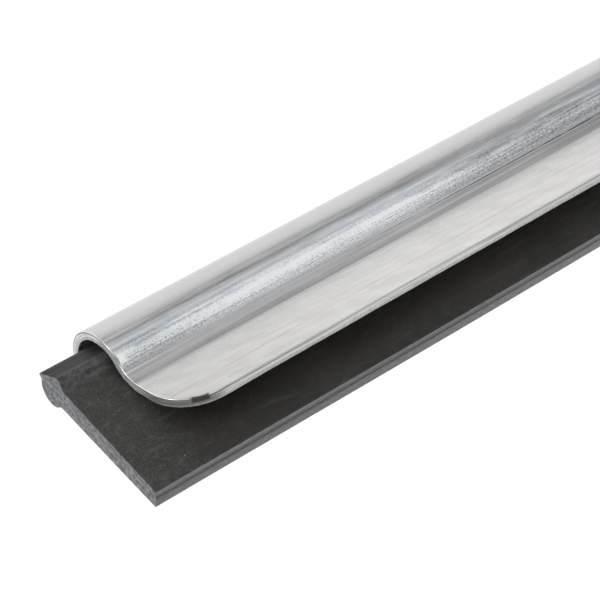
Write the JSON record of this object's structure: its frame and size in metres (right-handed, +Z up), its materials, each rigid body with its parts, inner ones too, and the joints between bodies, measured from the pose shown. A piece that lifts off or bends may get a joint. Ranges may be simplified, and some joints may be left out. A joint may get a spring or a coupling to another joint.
{
  "type": "door sweep",
  "caption": "Door sweep: a roll-formed steel holder with a hooked crown and flared front flange, gripping a beaded black rubber blade whose free lip seals the gap under a door.",
  "frame": {"origin": "on the face of the back leg that lies against the door, at mid-length, on the line of the fixing holes, midway between the inner pair", "axes": "+X along the door, +Y into the door, +Z up, so that the lip hangs towards -Z and the front flange faces -Y"},
  "size_m": [0.9144, 0.0135, 0.0334],
  "materials": {
    "galvanised_steel": "bright zinc coat, drawn lengthways, with a pebbled band below the crown",
    "black_rubber": "matt, faintly scuffed, with a paler freshly cut end"
  },
  "bodies": {
    "holder": {"steel_holder": "galvanised_steel"},
    "insert": {"rubber_body": "black_rubber"},
    "lip": {"rubber_lip": "black_rubber"}
  },
  "joints": [
    {"name": "insert_slide", "type": "slide", "parent": "holder", "child": "insert", "axis": [1, 0, 0], "range_m": [-0.008, 0.008]},
    {"name": "lip_flex", "type": "hinge", "parent": "insert", "child": "lip", "pos_m": [0, -0.00539, -0.011], "axis": [1, 0, 0], "range_deg": [-45, 45], "stiffness_Nm_per_rad": 1.8}
  ]
}
